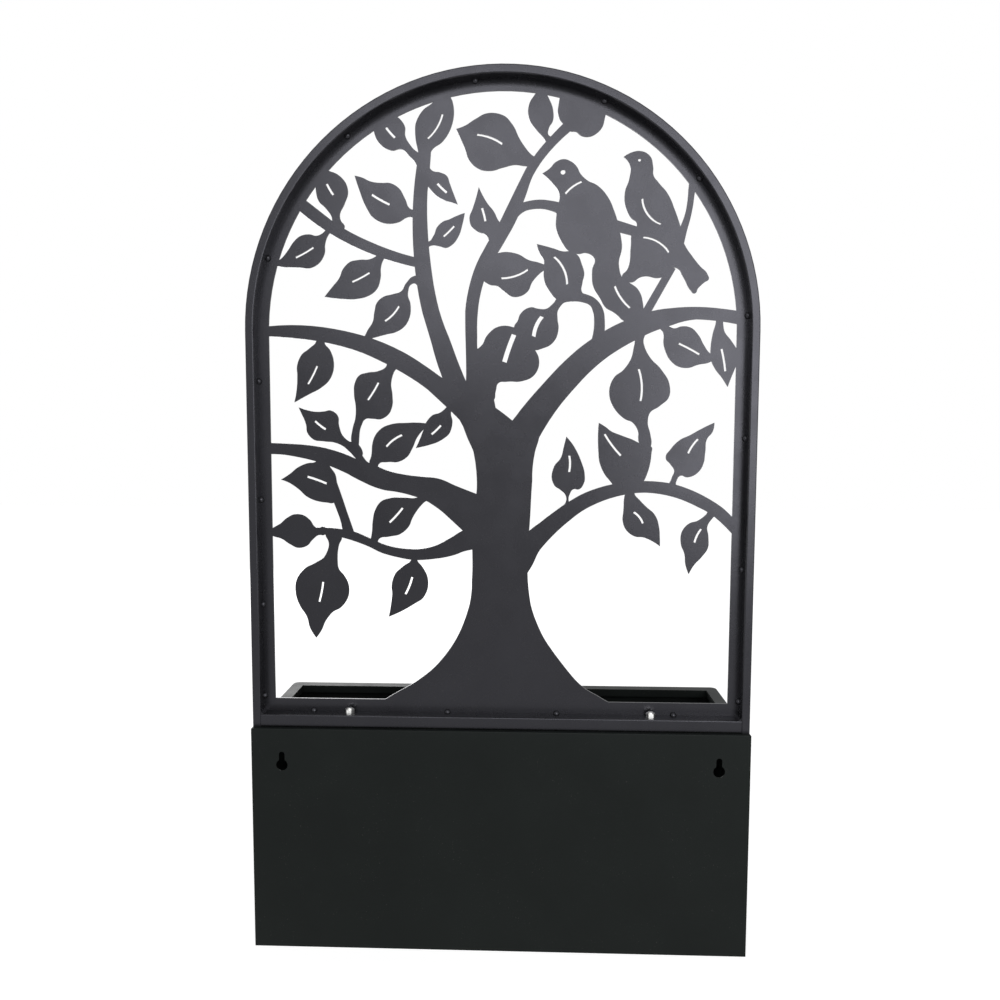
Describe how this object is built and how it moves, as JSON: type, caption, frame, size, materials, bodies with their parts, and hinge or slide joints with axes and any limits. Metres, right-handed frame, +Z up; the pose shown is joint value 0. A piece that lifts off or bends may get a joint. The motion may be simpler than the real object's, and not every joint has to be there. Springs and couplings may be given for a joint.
{
  "type": "wall planter with arched openwork screen",
  "caption": "Rectangular sheet-steel planter box with keyholes for wall screws and an arched tube frame above it that holds a laser-cut tree panel.",
  "frame": {"origin": "on the ground, under the middle of the planter box", "axes": "+Z up, +Y towards the wall the planter hangs on, +X to the right of a person who looks at its front"},
  "size_m": [0.6, 0.19, 1.05],
  "materials": {
    "box_paint": "satin black powder coat",
    "frame_paint": "satin black powder coat",
    "panel_paint": "satin black powder coat",
    "zinc": "dull zinc plating"
  },
  "bodies": {
    "root": {"planter_wrap": "box_paint", "rear_panel": "box_paint", "base_pan": "box_paint", "arched_tube": "frame_paint", "bottom_rail": "frame_paint", "rail_corner_welds": "frame_paint", "tree_panel": "panel_paint", "panel_tack_welds": "frame_paint", "frame_bolts": "zinc", "frame_nuts": "zinc", "frame_washers": "zinc"}
  },
  "joints": []
}
